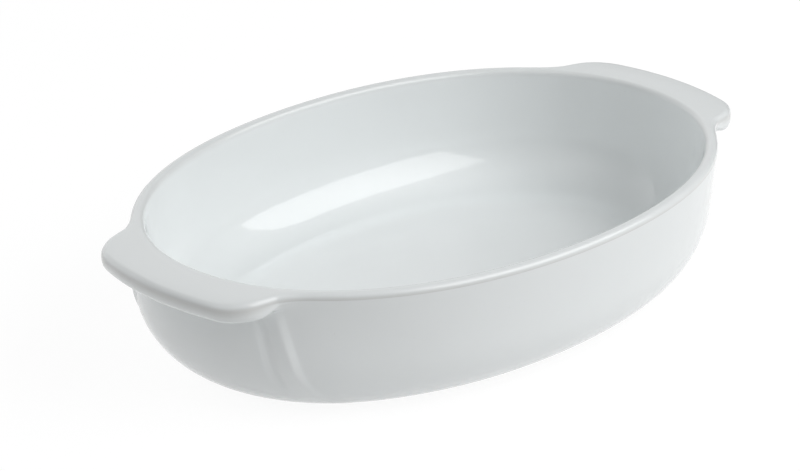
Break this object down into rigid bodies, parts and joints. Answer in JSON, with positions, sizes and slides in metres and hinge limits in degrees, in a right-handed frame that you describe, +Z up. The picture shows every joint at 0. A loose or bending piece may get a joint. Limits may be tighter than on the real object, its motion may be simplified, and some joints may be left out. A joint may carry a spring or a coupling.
{
  "type": "gratin dish",
  "caption": "Deep oval gratin dish in white glazed stoneware, with a flat lug handle at each end and a bare foot ring.",
  "frame": {"origin": "on the table under the middle of the dish, at the centre of the foot ring's underside", "axes": "+X along the dish's long axis from the left handle to the right handle, +Z up out of the open mouth"},
  "size_m": [0.35, 0.2172, 0.067],
  "materials": {
    "glaze": "glossy",
    "bare_clay": "matte"
  },
  "bodies": {
    "root": {"dish_body": "glaze", "left_handle": "glaze", "right_handle": "glaze", "foot_ring": "bare_clay"}
  },
  "joints": []
}
